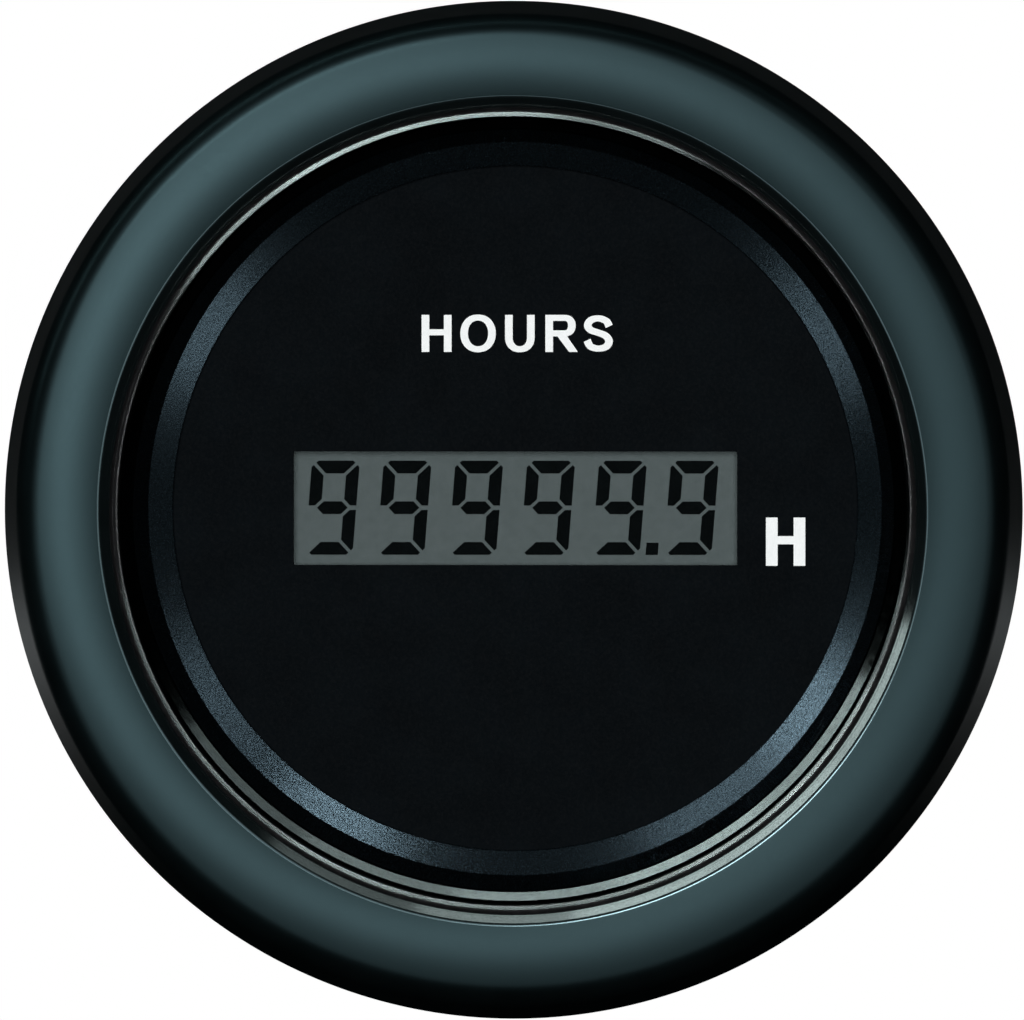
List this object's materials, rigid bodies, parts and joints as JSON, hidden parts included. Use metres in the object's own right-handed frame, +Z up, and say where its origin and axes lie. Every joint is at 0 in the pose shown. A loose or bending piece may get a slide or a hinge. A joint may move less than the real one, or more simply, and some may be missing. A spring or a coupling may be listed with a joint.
{
  "type": "panel hour meter",
  "caption": "Round panel hour meter with a liquid-crystal display behind a lens, a wide satin bezel, a barrel case with blade terminals, and a stirrup bracket with thumb nuts.",
  "frame": {"origin": "on the barrel's axis, in the plane of the gasket's rear face, where the panel's front lies", "axes": "+Y along the barrel, from the face to the terminals; +Z up, as the digits read; +X to the right of someone who reads the face"},
  "size_m": [0.062, 0.0573, 0.062],
  "materials": {
    "satin_black_bezel": "satin",
    "clear_lens": "gloss",
    "black_rubber": "matt",
    "gloss_black": "gloss",
    "satin_grey_ring": "satin",
    "dial_black": "matt",
    "polarizer_film": "gloss",
    "display_glass": "gloss",
    "display_dark": "satin",
    "edge_seal": "matt",
    "reflector_grey": "satin",
    "clear_acrylic": "gloss",
    "led_body": "gloss",
    "white_plastic": "satin",
    "contact_rubber": "matt",
    "board_green": "satin",
    "chip_black": "matt",
    "steel_can": "satin",
    "capacitor_can": "satin",
    "component_tan": "matt",
    "zinc_steel": "satin",
    "moulded_black": "satin",
    "terminal_brass": "satin",
    "zinc_sheet": "satin",
    "nut_brass": "satin"
  },
  "bodies": {
    "meter": {"bezel": "satin_black_bezel", "lens": "clear_lens", "panel_gasket": "black_rubber", "case": "moulded_black", "terminal_lighting": "terminal_brass", "terminal_negative": "terminal_brass", "terminal_positive": "terminal_brass", "mounting_studs": "zinc_steel", "lens_seal": "black_rubber", "throat_ring": "gloss_black", "dial_ring": "satin_grey_ring", "dial": "dial_black", "display_front_polarizer": "polarizer_film", "display_front_glass": "display_glass", "display_segments": "display_dark", "display_edge_seal": "edge_seal", "display_rear_glass": "display_glass", "display_reflector": "reflector_grey", "light_guide": "clear_acrylic", "backlight_leds": "led_body", "display_holder": "white_plastic", "contact_strip_upper": "contact_rubber", "contact_strip_lower": "contact_rubber", "circuit_board": "board_green", "counter_chip": "chip_black", "memory_chip": "chip_black", "timing_crystal": "steel_can", "voltage_regulator": "chip_black", "supply_capacitor": "capacitor_can", "supply_diode": "chip_black", "surge_suppressor": "chip_black", "chip_components": "component_tan", "board_screws": "zinc_steel"},
    "bracket": {"mounting_bracket": "zinc_sheet", "lock_washers": "zinc_steel"},
    "nut_left": {"thumb_nut_left": "nut_brass"},
    "nut_right": {"thumb_nut_right": "nut_brass"}
  },
  "joints": [
    {"name": "bracket_slide", "type": "slide", "parent": "meter", "child": "bracket", "axis": [0, 1, 0], "range_m": [-0.005, 0.007]},
    {"name": "nut_left_turn", "type": "hinge", "parent": "bracket", "child": "nut_left", "pos_m": [-0.016, 0.042, 0], "axis": [0, 1, 0], "range_deg": [-2575.4, 3603.9]},
    {"name": "nut_right_turn", "type": "hinge", "parent": "bracket", "child": "nut_right", "pos_m": [0.016, 0.042, 0], "axis": [0, 1, 0], "range_deg": [-2575.4, 3603.9]}
  ],
  "couplings": [
    {"joint": "nut_left_turn", "follows": "bracket_slide", "rad_per_m": 8976},
    {"joint": "nut_right_turn", "follows": "bracket_slide", "rad_per_m": 8976}
  ]
}
